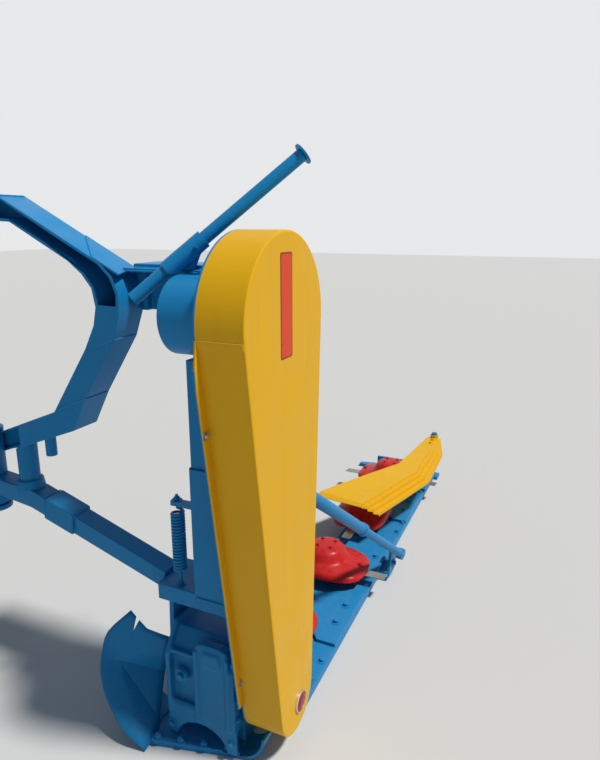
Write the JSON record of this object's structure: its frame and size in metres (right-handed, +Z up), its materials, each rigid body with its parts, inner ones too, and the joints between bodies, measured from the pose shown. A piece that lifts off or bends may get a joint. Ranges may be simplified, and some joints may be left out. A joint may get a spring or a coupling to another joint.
{
  "type": "tractor-mounted rotary disc mower",
  "caption": "Rear-mounted rotary disc mower with a low cutterbar, belt guard, bent carrying arm and hinged hitch frame.",
  "frame": {"origin": "middle of the input shaft, on its axis", "axes": "+X out along the cutterbar, +Y forward in the direction of travel, +Z up"},
  "size_m": [3.066, 1.5392, 1.6949],
  "materials": {
    "blue_paint": "gloss paint",
    "yellow_paint": "gloss paint",
    "red_paint": "gloss paint",
    "bare_steel": "worn steel",
    "reflector": "moulded lens"
  },
  "bodies": {
    "hitch": {"hitch_frame": "blue_paint", "hinge_post": "blue_paint", "hitch_pins": "bare_steel", "top_clevis": "blue_paint", "hinge_ears": "blue_paint", "hinge_pins": "bare_steel"},
    "frame": {"gooseneck": "blue_paint", "hinge_bushes": "blue_paint", "top_beam": "blue_paint", "column": "blue_paint", "back_plate": "blue_paint", "belt_guard": "yellow_paint", "reflector": "reflector", "input_cup": "blue_paint", "lower_beam": "blue_paint", "beam_post": "blue_paint", "balance_spring": "blue_paint", "pivot_fork": "blue_paint", "leg_socket": "blue_paint", "stay_lug": "blue_paint"},
    "input": {"input_shaft": "bare_steel"},
    "leg": {"parking_leg": "blue_paint"},
    "bar": {"gearbox": "blue_paint", "pivot_journals": "bare_steel", "inner_shoe": "blue_paint", "crop_shield": "blue_paint", "cutterbar": "blue_paint", "saddles": "blue_paint", "outer_shoe": "blue_paint", "divider_post": "blue_paint", "stay_bracket": "blue_paint", "disc_hubs": "blue_paint"},
    "rotor_1": {"disc_1": "red_paint", "knives_1": "bare_steel"},
    "rotor_2": {"disc_2": "red_paint", "knives_2": "bare_steel"},
    "rotor_3": {"disc_3": "red_paint", "knives_3": "bare_steel"},
    "rotor_4": {"disc_4": "red_paint", "knives_4": "bare_steel"},
    "divider": {"divider_board": "yellow_paint"},
    "stay_outer": {"stay_tube": "blue_paint"},
    "stay_inner": {"stay_rod": "blue_paint"}
  },
  "joints": [
    {"name": "break_back", "type": "hinge", "parent": "hitch", "child": "frame", "pos_m": [0.035, 0.87, -0.18], "axis": [0, 0, -1], "range_deg": [0, 60]},
    {"name": "bar_lift", "type": "hinge", "parent": "frame", "child": "bar", "pos_m": [0.055, 0, -1.1], "axis": [0, -1, 0], "range_deg": [0, 45]},
    {"name": "input_spin", "type": "hinge", "parent": "frame", "child": "input", "pos_m": [0, 0, 0], "axis": [0, 1, 0], "continuous": true},
    {"name": "leg_slide", "type": "slide", "parent": "frame", "child": "leg", "axis": [-0.4583, 0.6285, -0.6285], "range_m": [-0.04, 0.28]},
    {"name": "divider_swing", "type": "hinge", "parent": "bar", "child": "divider", "pos_m": [2.206, -0.19, -1.03], "axis": [0, 0, 1], "range_deg": [0, 100]},
    {"name": "stay_swing", "type": "hinge", "parent": "frame", "child": "stay_outer", "pos_m": [0.233, -0.18, -0.54], "axis": [-0.1761, -0.9826, -0.0591], "range_deg": [0, 46.84]},
    {"name": "stay_slide", "type": "slide", "parent": "stay_outer", "child": "stay_inner", "axis": [-0.7908, 0.1054, 0.6029], "range_m": [0, 0.44451]},
    {"name": "disc_1_spin", "type": "hinge", "parent": "bar", "child": "rotor_1", "pos_m": [0.373, -0.015, -1.17], "axis": [0, 0, 1], "continuous": true},
    {"name": "disc_2_spin", "type": "hinge", "parent": "bar", "child": "rotor_2", "pos_m": [0.873, -0.015, -1.17], "axis": [0, 0, 1], "continuous": true},
    {"name": "disc_3_spin", "type": "hinge", "parent": "bar", "child": "rotor_3", "pos_m": [1.373, -0.015, -1.17], "axis": [0, 0, 1], "continuous": true},
    {"name": "disc_4_spin", "type": "hinge", "parent": "bar", "child": "rotor_4", "pos_m": [1.873, -0.015, -1.17], "axis": [0, 0, 1], "continuous": true}
  ],
  "couplings": [
    {"joint": "stay_swing", "follows": "bar_lift", "ratio": 1.0406},
    {"joint": "stay_slide", "follows": "bar_lift", "m_per_rad": 0.56584},
    {"joint": "disc_2_spin", "follows": "disc_1_spin", "ratio": -1},
    {"joint": "disc_3_spin", "follows": "disc_1_spin", "ratio": 1},
    {"joint": "disc_4_spin", "follows": "disc_1_spin", "ratio": -1}
  ]
}
